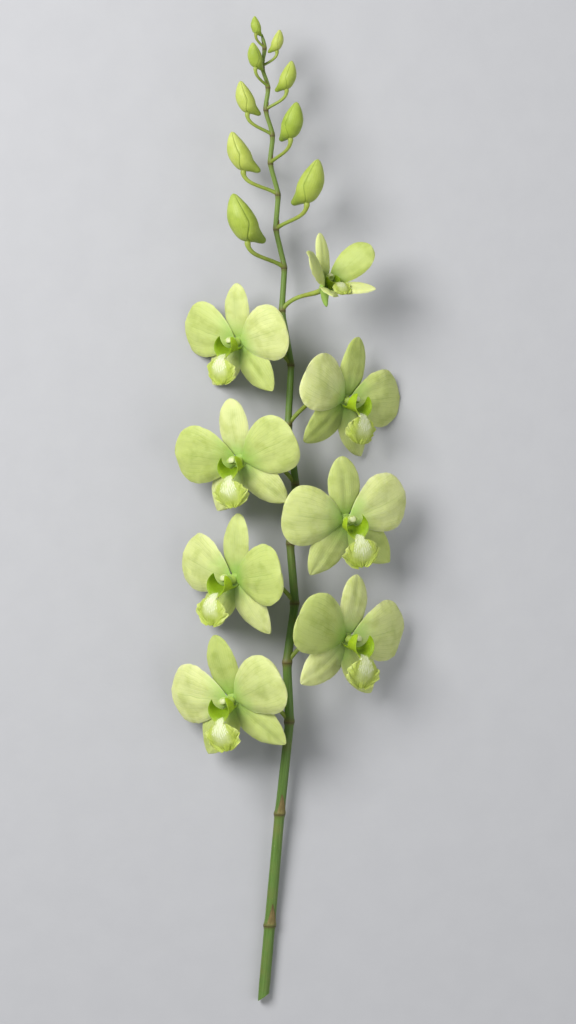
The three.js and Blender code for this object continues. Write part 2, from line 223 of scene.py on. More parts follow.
class BloomSettings(bpy.types.PropertyGroup):
    """Sizes and colours of the open blooms."""

    petal_length: size_mm("Petal Length", "Length of a petal along its curve", 33.5, 20, 50)
    petal_width: size_mm("Petal Width", "Largest width of a petal", 30, 12, 45)
    sepal_length: size_mm("Sepal Length", "Length of a sepal along its curve", 31, 20, 45)
    sepal_width: size_mm("Sepal Width", "Largest width of the top sepal", 16.5, 8, 28)
    blade_thickness: size_mm("Thickness", "Thickness of a petal at its middle", 0.7, 0.3, 1.2)
    lip_length: size_mm("Lip Length", "Length of the lip along its curve", 29, 18, 40)
    ruffle: size_mm("Ruffle", "Height of the waves along the lip's front edge", 0.85, 0, 1.5)
    blade_colour: colour("Petal", "Colour of the petals and sepals", "D5DB93")
    throat_colour: colour("Petal Base", "Colour of the petals and sepals near their base", "A1C362")
    vein_colour: colour("Veins", "Colour of the petals' veins", "A9BC66")
    lobe_colour: colour("Side Lobes", "Colour of the lip's side lobes", "9DBA1F")
    front_colour: colour("Front Lobe", "Colour of the lip's front lobe", "C6D166")
    keel_colour: colour("Keels", "Colour of the ridges down the lip", "F7F7DE")
    column_colour: colour("Column", "Colour of the column", "B9CB78")
    cap_colour: colour("Cap", "Colour of the cap at the column's end", "C6D08E")


class BudSettings(bpy.types.PropertyGroup):
    """Sizes and colours of the closed buds."""

    first_length: size_mm("First Bud", "Length of the lowest bud without its chin", 24, 15, 35)
    last_length: size_mm("Last Bud", "Length of the bud at the tip", 8.5, 4, 15)
    seam_depth: size_mm("Seam Depth", "Depth of the seams between the sepals", 0.35, 0, 1)
    bud_colour: colour("Bud", "Colour of a bud's sepals", "BEC862")
    chin_colour: colour("Chin", "Colour of a bud's chin", "97A843")
    tip_colour: colour("Tip", "Colour of a bud's tip", "D3DA82")


class StemSettings(bpy.types.PropertyGroup):
    """Sizes and colours of the stem, its stalks and bracts."""

    stalk_radius: size_mm("Stalk Radius", "Radius of a bloom's stalk", 1.05, 0.5, 2)
    stem_colour: colour("Stem", "Colour of the main stem", "638239")
    stalk_colour: colour("Stalk", "Colour of the blooms' and buds' stalks", "9DAC4C")
    node_colour: colour("Nodes", "Colour of the stem's nodes", "6E5F33")
    bract_colour: colour("Bracts", "Colour of the bracts", "6B5A34")
    cut_colour: colour("Cut", "Colour of the cut end", "C9CE9B")


class StageSettings(bpy.types.PropertyGroup):
    """Floor, light and camera."""

    floor_colour: colour("Floor", "Colour of the floor", "B6B6B8")
    key_power: power("Key Light", "Power of the light from the upper left", 25.0)
    fill_power: power("Fill Light", "Power of the light from the right", 4.5)
    camera_height: distance("Camera Height", "Height of the camera over the floor", 1.7, 0.5)
    view_height: distance("View Height", "Height of the floor that the picture shows", 0.512, 0.1)


# Shades that the materials blend with the colours of the settings

# Olive centre of the petals: partly their own colour, partly painted shade for shadows seen through the thin
# blades
PETAL_HEART_AND_SHADE = linear("B9C47E")
PETAL_RIM = linear("E2E5AC")
PETAL_DRIFT = linear("D2D9A6")
PETAL_BACK = linear("C9DB9C")
PETAL_TONE = linear("D3E0A6")
PETAL_SPECKLE = linear("B7C47C")
# Darker green in the lip's throat: painted shade under the column and the rolled side lobes
LIP_THROAT_SHADE = linear("7E9A28")
LIP_VEIN = linear("8FA636")
LIP_EDGE = linear("E6E9A4")
LIP_MIDDLE = linear("E8EBBC")
LIP_DRIFT = linear("D5DE8E")
LIP_BACK = linear("C6D890")
COLUMN_FOOT = linear("A9BE58")
CAP_END = linear("E4E6BE")
# Painted shade in the groove under the column's cap and in the cleft across it
COLUMN_GROOVE_SHADE = linear("8FA544")
# Painted shade in the hollow under the column's cap
COLUMN_HOLLOW_SHADE = linear("7E9336")
COLUMN_DRIFT = linear("DCE4B0")
BUD_VEIN = linear("96A944")
# Painted shade along the buds' seams
BUD_SEAM_SHADE = linear("7F9233")
BUD_DRIFT = linear("CFDA94")
BUD_TONE = linear("CDE09A")
BUD_SPECKLE = linear("D6DC8E")
STEM_TIP = linear("82984A")
STEM_STREAK = linear("B9C383")
STEM_GROOVE = linear("4E6A2C")
STEM_STAIN = linear("7F7340")
STEM_FLECK = linear("A5B56A")
STEM_SCAR = linear("4B3D22")
CUT_BUNDLE = linear("8E9450")
STALK_FOOT = linear("86993F")
STALK_RIB = linear("7F963A")
STALK_DRIFT = linear("D8C98A")
BRACT_FOOT = linear("756C3B")
BRACT_TIP = linear("4A3A22")
BRACT_FIBRE = linear("A89A62")


# The stage: places and sizes in metres, the camera's sensor in millimetres

KEY_PLACE = (-0.75, 0.55, 1.15)
KEY_SIZE = 0.9
FILL_PLACE = (0.9, -0.35, 1.0)
FILL_SIZE = 1.2
SKY = linear("E4E8EE")
SKY_STRENGTH = 0.34
FLOOR_SPECK = linear("A9A9AC")
FLOOR_HALF = 3.0
SENSOR_HEIGHT = 24.0


# Curves

def bezier(points, t):
    """Points at t of the curve that points steer."""
    t = np.asarray(t, float)[:, None]
    level = [np.asarray(p, float) * np.ones_like(t) for p in points]
    while len(level) > 1:
        level = [mix(a, b, t) for a, b in zip(level, level[1:])]
    return level[0]


def rounded_line(points, count):
    """A centripetal curve through points, as count points spaced evenly along it."""
    points = np.asarray(points, float)
    padded = np.vstack([2 * points[0] - points[1], points, 2 * points[-1] - points[-2]])
    dense = []
    for p0, p1, p2, p3 in zip(padded, padded[1:], padded[2:], padded[3:]):
        d0, d1, d2 = (np.linalg.norm(b - a) ** 0.5 for a, b in ((p0, p1), (p1, p2), (p2, p3)))
        m1 = d1 * ((p1 - p0) / d0 - (p2 - p0) / (d0 + d1) + (p2 - p1) / d1)
        m2 = d1 * ((p2 - p1) / d1 - (p3 - p1) / (d1 + d2) + (p3 - p2) / d2)
        t = np.linspace(0, 1, 60, endpoint=False)[:, None]
        dense.append(p1 + t * m1 + t * t * (3 * (p2 - p1) - 2 * m1 - m2) + t**3 * (2 * (p1 - p2) + m1 + m2))
    dense = np.vstack(dense + [points[-1:]])
    return even_points(dense, count)


def even_points(line, count):
    """count points spaced evenly along a line of points."""
    along = np.concatenate([[0], np.cumsum(np.linalg.norm(np.diff(line, axis=0), axis=1))])
    at = np.linspace(0, along[-1], count)
    return np.stack([np.interp(at, along, line[:, k]) for k in range(3)], 1)


def directions(line):
    """The direction of the line at each of its points."""
    step = np.gradient(line, axis=0)
    return step / np.linalg.norm(step, axis=1)[:, None]


def carried_frames(line, right):
    """Two directions across the line at each of its points, turned as little as possible from right."""
    forward = directions(line)
    rights, ups = [], []
    for way in forward:
        right = unit(right - way * right.dot(way))
        rights.append(right)
        ups.append(np.cross(way, right))
    return np.array(rights), np.array(ups)


# Skins: grids of points and the faces between them

@dataclass
class Skin:
    """Points, faces and named values of one closed surface."""

    points: np.ndarray
    faces: list
    values: dict


def grid_faces(rows, columns, closed):
    """Quads between rows of points; closed joins each row's last point to its first."""
    i, j = np.meshgrid(np.arange(rows - 1), np.arange(columns if closed else columns - 1), indexing="ij")
    i, j = i.ravel(), j.ravel()
    here, ahead = i * columns, (i + 1) * columns
    after = (j + 1) % columns
    return np.stack([here + j, here + after, ahead + after, ahead + j], 1)


def tube(rings, values):
    """A closed tube from rings shaped (rings, points, 3), with a middle point over each end."""
    count, sides = rings.shape[:2]
    points = np.vstack([rings.reshape(-1, 3), rings[0].mean(0)[None], rings[-1].mean(0)[None]])
    faces = grid_faces(count, sides, True).tolist()
    first, last = count * sides, count * sides + 1
    for s in range(sides):
        after = (s + 1) % sides
        faces.append([first, after, s])
        faces.append([last, (count - 1) * sides + s, (count - 1) * sides + after])
    held = {}
    for name, value in values.items():
        value = np.broadcast_to(value, (count, sides))
        held[name] = np.concatenate([value.ravel(), [value[0].mean(), value[-1].mean()]])
    return Skin(points, faces, held)


def ring_angles(sides):
    """The angle of each point of a ring."""
    return np.linspace(0, 2 * math.pi, sides, endpoint=False)[None, :]


def sections(line, rights, ups, across, upward):
    """Rings of points round a line, from how far each lies along rights and along ups."""
    return line[:, None] + across[..., None] * rights[:, None] + upward[..., None] * ups[:, None]


def round_rings(line, right, half_right, half_up, sides, scale=1.0):
    """Rings round a line, with their points scaled away from it or towards it."""
    rights, ups = carried_frames(line, right)
    across = scale * half_right[:, None] * np.cos(ring_angles(sides))
    return sections(line, rights, ups, across, scale * half_up[:, None] * np.sin(ring_angles(sides)))


def sheet(middle, thickness, values, relief=0.0):
    """A thin closed blade round the middle surface. relief raises its front face."""
    rows, columns = middle.shape[:2]
    normal = np.cross(np.gradient(middle, axis=1), np.gradient(middle, axis=0))
    normal = normal / np.maximum(np.linalg.norm(normal, axis=2, keepdims=True), 1e-9)
    front = middle + normal * (thickness / 2 + relief)[..., None]
    back = middle - normal * (thickness / 2)[..., None]
    size = rows * columns
    faces = grid_faces(rows, columns, False)
    rim = np.concatenate([
        np.arange(columns - 1),
        np.arange(rows - 1) * columns + columns - 1,
        np.arange(columns - 1, 0, -1) + (rows - 1) * columns,
        np.arange(rows - 1, 0, -1) * columns,
    ])
    after = np.roll(rim, -1)
    sides = np.stack([rim, rim + size, after + size, after], 1)
    held = {"back": np.repeat([0.0, 1.0], size)}
    for name, value in values.items():
        held[name] = np.tile(np.broadcast_to(value, (rows, columns)).ravel(), 2)
    points = np.vstack([front.reshape(-1, 3), back.reshape(-1, 3)])
    return Skin(points, np.vstack([faces, faces[:, ::-1] + size, sides]).tolist(), held)


def moved(skin, matrix):
    """The skin after a 4 x 4 matrix."""
    matrix = np.array(matrix)
    return Skin(skin.points @ matrix[:3, :3].T + matrix[:3, 3], skin.faces, skin.values)


def joined(skins):
    """Several skins as one, with a value of 0 where a skin lacks it."""
    faces, start = [], 0
    for skin in skins:
        faces += [[index + start for index in face] for face in skin.faces]
        start += len(skin.points)
    values = {}
    for name in sorted({name for skin in skins for name in skin.values}):
        held = [skin.values.get(name, np.zeros(len(skin.points))) for skin in skins]
        values[name] = np.concatenate(held)
    return Skin(np.vstack([skin.points for skin in skins]), faces, values)


def add_object(name, data):
    """Puts data in the scene as a new object."""
    thing = bpy.data.objects.new(name, data)
    bpy.context.scene.collection.objects.link(thing)
    return thing


def place(name, skin, material, nodes):
    """Makes a piece of the skin, given in millimetres in the frame, parents it to the root body and hides its
    nodes.
    """
    mesh = bpy.data.meshes.new(name)
    mesh.from_pydata((skin.points * MM).tolist(), [], skin.faces)
    for value_name, value in skin.values.items():
        layer = mesh.attributes.new(value_name, "FLOAT", "POINT")
        layer.data.foreach_set("value", np.asarray(value, np.float32))
    piece = add_object(name, mesh)
    face_out(mesh)
    mesh.shade_smooth()
    mesh.set_sharp_from_angle(angle=SHARP_ANGLE)
    mesh.materials.append(material)
    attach(piece, "root")
    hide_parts(*nodes)


def face_out(mesh):
    """Turns the faces of each closed part of the mesh to face out."""
    work = bmesh.new()
    work.from_mesh(mesh)
    bmesh.ops.recalc_face_normals(work, faces=work.faces)
    work.to_mesh(mesh)
    work.free()


# Shaders

class Wire:
    """A number on its way through a shader, for use in plain sums."""

    def __init__(self, shader, socket):
        self.shader = shader
        self.socket = socket

    def math(self, operation, *values):
        return self.shader.wire("ShaderNodeMath", {"operation": operation}, dict(enumerate(values)))

    def __add__(self, other):
        return self.math("ADD", self, other)

    def __radd__(self, other):
        return self.math("ADD", other, self)

    def __sub__(self, other):
        return self.math("SUBTRACT", self, other)

    def __rsub__(self, other):
        return self.math("SUBTRACT", other, self)

    def __mul__(self, other):
        return self.math("MULTIPLY", self, other)

    def __rmul__(self, other):
        return self.math("MULTIPLY", other, self)

    def sine(self):
        return self.math("SINE", self)

    def size(self):
        return self.math("ABSOLUTE", self)


class Shader:
    """One material and its nodes."""

    def __init__(self, name):
        self.material = bpy.data.materials.new(name)
        self.material.use_nodes = True
        self.tree = self.material.node_tree
        self.tree.nodes.clear()

    def node(self, kind, settings, sockets):
        """Adds a node: its settings come first, then the values or links of its sockets."""
        node = self.tree.nodes.new(kind)
        for key, value in settings.items():
            setattr(node, key, value)
        for key, value in sockets.items():
            socket = self.socket(node.inputs, key)
            if isinstance(value, Wire):
                self.tree.links.new(value.socket, socket)
            else:
                socket.default_value = (*value, 1.0) if socket.type == "RGBA" else value
        return node

    def socket(self, sockets, key):
        """A socket by its number, its identifier or its name."""
        if isinstance(key, int):
            return sockets[key]
        return next(s for s in sockets if key in (s.identifier, s.name))

    def wire(self, kind, settings, sockets, output=0):
        """Adds a node and gives one of its outputs."""
        return Wire(self, self.socket(self.node(kind, settings, sockets).outputs, output))

    def value(self, name):
        """A named value of the surface."""
        return self.wire("ShaderNodeAttribute", {"attribute_name": name}, {}, "Fac")

    def place(self):
        """The place on the piece, in metres."""
        return self.wire("ShaderNodeTexCoord", {}, {}, "Object")

    def noise(self, scale, detail=2.0, vector=None):
        """Soft noise round a half, with scale cells to a metre."""
        sockets = {"Scale": scale, "Detail": detail, "Vector": vector or self.place()}
        return self.wire("ShaderNodeTexNoise", {}, sockets)

    def cells(self, scale):
        """The distance to the middle of the nearest cell, with scale cells to a metre."""
        return self.wire("ShaderNodeTexVoronoi", {}, {"Scale": scale, "Vector": self.place()}, "Distance")

    def vector(self, x, y, z):
        return self.wire("ShaderNodeCombineXYZ", {}, {"X": x, "Y": y, "Z": z})

    def step(self, value, low, high):
        """Rises smoothly from 0 at low to 1 at high; high may be below low."""
        sockets = {"Value": value, "From Min": min(low, high), "From Max": max(low, high)}
        sockets.update({"To Min": float(high < low), "To Max": float(low < high)})
        return self.wire("ShaderNodeMapRange", {"interpolation_type": "SMOOTHSTEP"}, sockets, "Result")

    def blend(self, factor, first, second, way="MIX"):
        """first where factor is 0, second where it is 1."""
        settings = {"data_type": "RGBA", "blend_type": way, "clamp_factor": True}
        sockets = {"Factor_Float": factor, "A_Color": first, "B_Color": second}
        return self.wire("ShaderNodeMix", settings, sockets, "Result_Color")

    def tinted(self, first, amount, second):
        """first multiplied by second, by amount."""
        return self.blend(amount, first, second, "MULTIPLY")

    def bump(self, height, depth):
        """Relief from height, of which 1 is depth metres."""
        sockets = {"Height": height, "Strength": 1.0, "Distance": depth}
        return self.wire("ShaderNodeBump", {}, sockets, "Normal")

    def finish(self, base, rough, normal, **constants):
        """Ends the shader in one surface, with constants on its own sockets."""
        sockets = {"Base Color": base, "Roughness": rough, "Normal": normal}
        sockets.update({key.replace("_", " "): value for key, value in constants.items()})
        surface = self.wire("ShaderNodeBsdfPrincipled", {}, sockets)
        self.node("ShaderNodeOutputMaterial", {}, {"Surface": surface})
        return self.material


def fleshy(shader, base, rough, normal, depth):
    """Soft plant tissue that light enters to a depth in metres."""
    return shader.finish(
        base, rough, normal, Subsurface_Weight=0.3, Subsurface_Radius=(1.0, 1.0, 0.35),
        Subsurface_Scale=depth, Specular_IOR_Level=0.35,
    )


def vein_lines(shader, fan, count, width):
    """Thin lines at even steps of the fan, count of them from the middle to the edge."""
    return shader.step((fan * (math.pi * count)).sine().size(), width, 0.0)


def petal_material(settings):
    """Pale lime blades, greener at their base, with fine veins that branch towards the edge."""
    s = Shader("Orchid_Petal")
    along = s.value("along")
    across = s.value("across")
    tone = s.value("tone")
    drift = s.noise(140.0, 3.0)
    patch = s.noise(75.0)
    fan = across * (1.0 - VEIN_SPREAD * along * along) + (s.noise(170.0, 3.0) - 0.5) * 0.1
    strength = s.step(s.noise(110.0), 0.3, 0.7)
    main = vein_lines(s, fan, 8, 0.38) * s.step(along, 0.97, 0.75)
    branches = vein_lines(s, fan + 0.0625 + along * 0.02, 16, 0.35) * s.step(along, 0.2, 0.5)
    threads = vein_lines(s, fan + along * 0.03, 41, 0.6) * s.step(along, 0.35, 0.8)
    midrib = s.step(fan.size(), 0.03, 0.0) * s.step(along, 1.0, 0.4)
    veins = (main * 0.75 + branches * 0.5 + threads * 0.25) * (0.25 + 0.75 * strength) + midrib * 0.6
    base_part = s.step(along + (drift - 0.5) * 0.35, 0.46, -0.04)
    body = s.blend(base_part, settings.blade_colour, settings.throat_colour)
    # Olive centre of each blade, partly its own colour and partly painted shade standing in for shadows seen
    # through the petal
    heart_and_shade = s.step(across.size(), 0.75, 0.0) * s.step(along, 0.1, 0.35) * s.step(along, 0.95, 0.6)
    body = s.blend(heart_and_shade * (0.15 + 0.75 * s.step(patch, 0.35, 0.65)) * 0.5, body, PETAL_HEART_AND_SHADE)
    body = s.blend(veins * 0.5, body, settings.vein_colour)
    rim = s.step(across.size(), 0.84, 1.0) * 0.5 + s.step(along, 0.88, 1.0) * 0.3
    body = s.blend(rim, body, PETAL_RIM)
    body = s.tinted(body, s.step(drift, 0.42, 0.72) * 0.5, PETAL_DRIFT)
    body = s.tinted(body, s.value("back") * 0.45, PETAL_BACK)
    body = s.tinted(body, tone * 0.7, PETAL_TONE)
    speckle = s.step(s.noise(900.0, 3.0), 0.6, 0.78)
    body = s.blend(speckle * 0.25, body, PETAL_SPECKLE)
    puffs = (fan * (math.pi * 16) + 1.57).sine() * s.step(along, 0.05, 0.4)
    relief = veins * 0.24 - puffs * 0.11 * strength + s.noise(1500.0) * 0.2 + drift * 2.2 + patch * 3.0
    rough = 0.47 + 0.14 * s.noise(700.0) + veins * 0.06
    return fleshy(s, body, rough, s.bump(relief, 0.19 * MM), 1.2 * MM)


def lip_material(settings):
    """Olive side lobes, a paler ruffled front lobe with darker veins, pale ridges, and painted shade in the
    throat.
    """
    s = Shader("Orchid_Lip")
    along = s.value("along")
    across = s.value("across")
    keel = s.value("keel")
    drift = s.noise(220.0, 3.0)
    fan = across + (s.noise(320.0) - 0.5) * 0.08
    veins = vein_lines(s, fan, 7, 0.4) + vein_lines(s, fan + 0.07, 14, 0.4) * 0.5
    lobes = s.step(along + (drift - 0.5) * 0.08, 0.52, 0.4)
    body = s.blend(lobes, settings.front_colour, settings.lobe_colour)
    # Painted shade: darker green in the throat, the recess under the column between the rolled side lobes
    throat_shade = s.step(across.size(), 0.6, 0.1) * s.step(along, 0.5, 0.1)
    body = s.blend(throat_shade * 0.5, body, LIP_THROAT_SHADE)
    body = s.blend(veins * 0.26, body, LIP_VEIN)
    edge = s.step(across.size(), 0.72, 1.0) * s.step(along, 0.5, 0.62)
    body = s.blend(edge * 0.55, body, LIP_EDGE)
    middle = s.step(across.size(), 0.62, 0.25) * s.step(along, 0.36, 0.5)
    middle = middle * s.step(along + drift * 0.1, 0.98, 0.78)
    body = s.blend(middle * 0.75, body, LIP_MIDDLE)
    body = s.blend(s.step(keel, 0.1, 0.5), body, settings.keel_colour)
    body = s.tinted(body, s.step(drift, 0.45, 0.75) * 0.5, LIP_DRIFT)
    body = s.tinted(body, s.value("back") * 0.4, LIP_BACK)
    relief = s.noise(1400.0, 3.0) * 0.6 + s.cells(1500.0) * 0.5 + veins * 0.25
    rough = 0.42 + 0.16 * s.noise(800.0)
    return fleshy(s, body, rough, s.bump(relief, 0.18 * MM), 1.0 * MM)


def column_material(settings):
    """A pale column, greener below, with a cream cap, and painted shade in the hollow and the groove under
    it.
    """
    s = Shader("Orchid_Column")
    along = s.value("along")
    hollow = s.value("hollow")
    drift = s.noise(400.0, 3.0)
    body = s.blend(s.step(along, 0.6, 0.0), settings.column_colour, COLUMN_FOOT)
    body = s.blend(s.step(along, 0.855, 0.875), body, settings.cap_colour)
    body = s.blend(s.step(along, 0.93, 1.0) * 0.6, body, CAP_END)
    # Painted shade: darker green in the groove under the cap and the cleft across its top
    body = s.blend(s.value("groove") * 0.7, body, COLUMN_GROOVE_SHADE)
    # Painted shade: darker green in the hollow under the cap
    body = s.blend(hollow * 0.85, body, COLUMN_HOLLOW_SHADE)
    body = s.tinted(body, s.step(drift, 0.4, 0.7) * 0.5, COLUMN_DRIFT)
    relief = drift * 0.8 + s.noise(2200.0) * 0.4
    return fleshy(s, body, 0.4 + 0.2 * s.noise(900.0), s.bump(relief, 0.1 * MM), 1.0 * MM)


def bud_material(settings):
    """Lime buds with fine lengthwise veins, painted shade along the seams, a greener chin and a paler tip."""
    s = Shader("Orchid_Bud")
    along = s.value("along")
    round_way = s.value("round")
    seam = s.value("seam")
    tone = s.value("tone")
    drift = s.noise(150.0, 3.0)
    strength = s.step(s.noise(190.0), 0.3, 0.7)
    wander = round_way + (s.noise(230.0) - 0.5) * 0.12
    lines = s.step((wander * 15.0).sine().size(), 0.35, 0.0) * (0.4 + 0.6 * strength)
    fine = s.step((wander * 34.0).sine().size(), 0.6, 0.0) * strength
    body = s.blend(s.step(along + (drift - 0.5) * 0.2, 0.4, 0.06), settings.bud_colour, settings.chin_colour)
    body = s.blend(s.step(along, 0.68, 1.0) * 0.7, body, settings.tip_colour)
    body = s.blend(lines * 0.45 + fine * 0.25, body, BUD_VEIN)
    # Painted shade: darker olive along the seams and the front groove, where the sepals meet
    body = s.blend(seam * 0.65, body, BUD_SEAM_SHADE)
    body = s.tinted(body, s.step(drift, 0.42, 0.7) * 0.45, BUD_DRIFT)
    body = s.tinted(body, tone * 0.8, BUD_TONE)
    body = s.blend(s.step(s.noise(1100.0, 3.0), 0.58, 0.8) * 0.25, body, BUD_SPECKLE)
    relief = drift * 1.6 - lines * 0.4 - fine * 0.15 + s.noise(1300.0) * 0.3
    rough = 0.4 + 0.15 * s.noise(600.0)
    return fleshy(s, body, rough, s.bump(relief, 0.14 * MM), 1.4 * MM)


def stem_material(settings):
    """The green main stem, brownish at its nodes, with fine lengthwise grooves and a pale cut."""
    s = Shader("Orchid_Stem")
    node = s.value("node")
    cut = s.value("cut")
    far = s.value("along")
    drift = s.noise(90.0, 4.0)
    streak = s.noise(420.0, 3.0, s.vector(s.value("side") * 0.012, s.value("top") * 0.012, far * 0.05))
    grooves = s.value("ridge")
    body = s.blend(s.step(far, 0.5, 1.0), settings.stem_colour, STEM_TIP)
    body = s.tinted(body, s.step(streak, 0.35, 0.7) * 0.6, STEM_STREAK)
    body = s.blend(grooves * 0.12, body, STEM_GROOVE)
    body = s.blend(s.step(drift, 0.48, 0.75) * 0.35, body, STEM_STAIN)
    flecks = s.step(s.noise(1300.0), 0.66, 0.76)
    body = s.blend(flecks * 0.35, body, STEM_FLECK)
    body = s.blend(node * (0.45 + 0.5 * drift), body, settings.node_colour)
    body = s.blend(s.value("scar") * 0.75, body, STEM_SCAR)
    bundles = s.step(s.cells(1700.0), 0.28, 0.12)
    pith = s.blend(bundles * 0.6, settings.cut_colour, CUT_BUNDLE)
    body = s.blend(cut, body, pith)
    relief = grooves * 0.3 + streak * 0.5 + s.noise(1600.0, 3.0) * 0.4 + node * drift * 1.5
    rough = 0.4 + 0.2 * streak + cut * 0.2
    return fleshy(s, body, rough, s.bump(relief, 0.16 * MM), 0.6 * MM)


def stalk_material(settings):
    """Yellow-green stalks with a few lengthwise ribs, browner where they leave the stem."""
    s = Shader("Orchid_Stalk")
    along = s.value("along")
    drift = s.noise(160.0, 3.0)
    ribs = s.value("ridge")
    body = s.blend(s.step(along, 0.1, 0.75), STALK_FOOT, settings.stalk_colour)
    body = s.blend(s.step(along + (drift - 0.5) * 0.1, 0.12, 0.0) * 0.7, body, settings.node_colour)
    body = s.blend(ribs * 0.13, body, STALK_RIB)
    body = s.tinted(body, s.step(drift, 0.4, 0.7) * 0.5, STALK_DRIFT)
    relief = ribs * 0.35 + s.noise(1500.0) * 0.4 + drift
    return fleshy(s, body, 0.4 + 0.15 * s.noise(800.0), s.bump(relief, 0.14 * MM), 0.8 * MM)


def bract_material(settings):
    """Dry papery bracts with fine fibres and a darker tip."""
    s = Shader("Orchid_Bract")
    along = s.value("along")
    round_way = s.value("round")
    drift = s.noise(300.0, 3.0)
    fibres = s.noise(700.0, 4.0, s.vector(round_way * 0.01, along * 0.004, drift * 0.002))
    body = s.blend(s.step(along, 0.0, 0.55), BRACT_FOOT, settings.bract_colour)
    body = s.blend(s.step(along, 0.6, 1.0) * 0.7, body, BRACT_TIP)
    body = s.blend(s.step(fibres, 0.4, 0.65) * 0.45, body, BRACT_FIBRE)
    relief = fibres * 1.2 + drift * 0.4
    return s.finish(body, 0.62 + 0.2 * fibres, s.bump(relief, 0.22 * MM), Specular_IOR_Level=0.3)


# The stem's axis and the places along it

def stem_stations():
    """Height and side of each node of the stem, from the cut end: bare ones, blooms, then buds."""
    stations = [(y, 0) for y in BARE_NODES]
    stations += [(BARE_LENGTH + i * BLOOM_GAP, bloom.side) for i, bloom in enumerate(BLOOMS[:-1])]
    y = stations[-1][0] + OPENING_GAP
    stations.append((y, BLOOMS[-1].side))
    gap = FIRST_BUD_GAP
    for i in range(BUD_COUNT):
        y += gap
        gap *= BUD_GAP_SHRINK
        stations.append((y, 1 if i % 2 else -1))
    return stations


STATIONS = stem_stations()
TIP = STATIONS[-1][0] + TIP_LENGTH


def axis_point(y, side=0):
    """The middle of the stem at height y, pushed away from the side that a node's stalk leaves on."""
    t = y / TIP
    sweep = BOW * (math.sin(1.25 * math.pi * t - 0.35) + 0.34)
    height = mix(FOOT_HEIGHT, RISE, smooth(t, 0.02, 0.42)) + TIP_RISE * smooth(t, 0.6, 1)
    return np.array((sweep - side * ZIGZAG, y, height))


def stem_radius(y):
    """The stem's radius at height y, away from its nodes."""
    bare = mix(FOOT_RADIUS, SHOULDER_RADIUS, y / BARE_LENGTH)
    flowering = mix(SHOULDER_RADIUS, TIP_RADIUS, (y - BARE_LENGTH) / (TIP - BARE_LENGTH))
    return np.where(y < BARE_LENGTH, bare, flowering)


def reach_direction(side, reach, climb):
    """The direction that a bloom or bud stands off the stem."""
    reach, climb = math.radians(reach), math.radians(climb)
    flat = math.cos(climb)
    return np.array((side * math.sin(reach) * flat, math.sin(climb), math.cos(reach) * flat))


def middle_of(points):
    """The middle of the points' box."""
    return (points.min(0) + points.max(0)) / 2


def node_middle(name):
    """The middle of a node's box in the frame, in millimetres."""
    return middle_of(np.array(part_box(name))) / MM


# Blooms

@dataclass
class Blade:
    """The form of one petal or sepal."""

    length: float
    width: float
    foot: float
    rise: float
    fall: float
    lift: float
    bend: float
    cup: float
    wave: float


def blades_of(settings):
    """Top sepal, two petals and two side sepals, with their angle, layer and crease."""
    length, width = settings.sepal_length / MM, settings.sepal_width / MM
    side_width = width * SIDE_SEPAL_SHARE
    sepal = Blade(length, width, foot=2.2, rise=0.55, fall=0.55, lift=16, bend=34, cup=-1.1, wave=0.5)
    side = Blade(length, side_width, foot=3.4, rise=0.5, fall=0.72, lift=14, bend=30, cup=-1.3, wave=0.6)
    length, width = settings.petal_length / MM, settings.petal_width / MM
    petal = Blade(length, width, foot=1.8, rise=0.78, fall=0.42, lift=24, bend=42, cup=-2.2, wave=1.2)
    return [
        (sepal, 0.0, 0.0, 0.3),
        (petal, PETAL_SPREAD, PETAL_LAYER, 0.22),
        (petal, -PETAL_SPREAD, PETAL_LAYER, 0.22),
        (side, SIDE_SEPAL_SPREAD, 0.0, 0.35),
        (side, -SIDE_SEPAL_SPREAD, 0.0, 0.35),
    ]


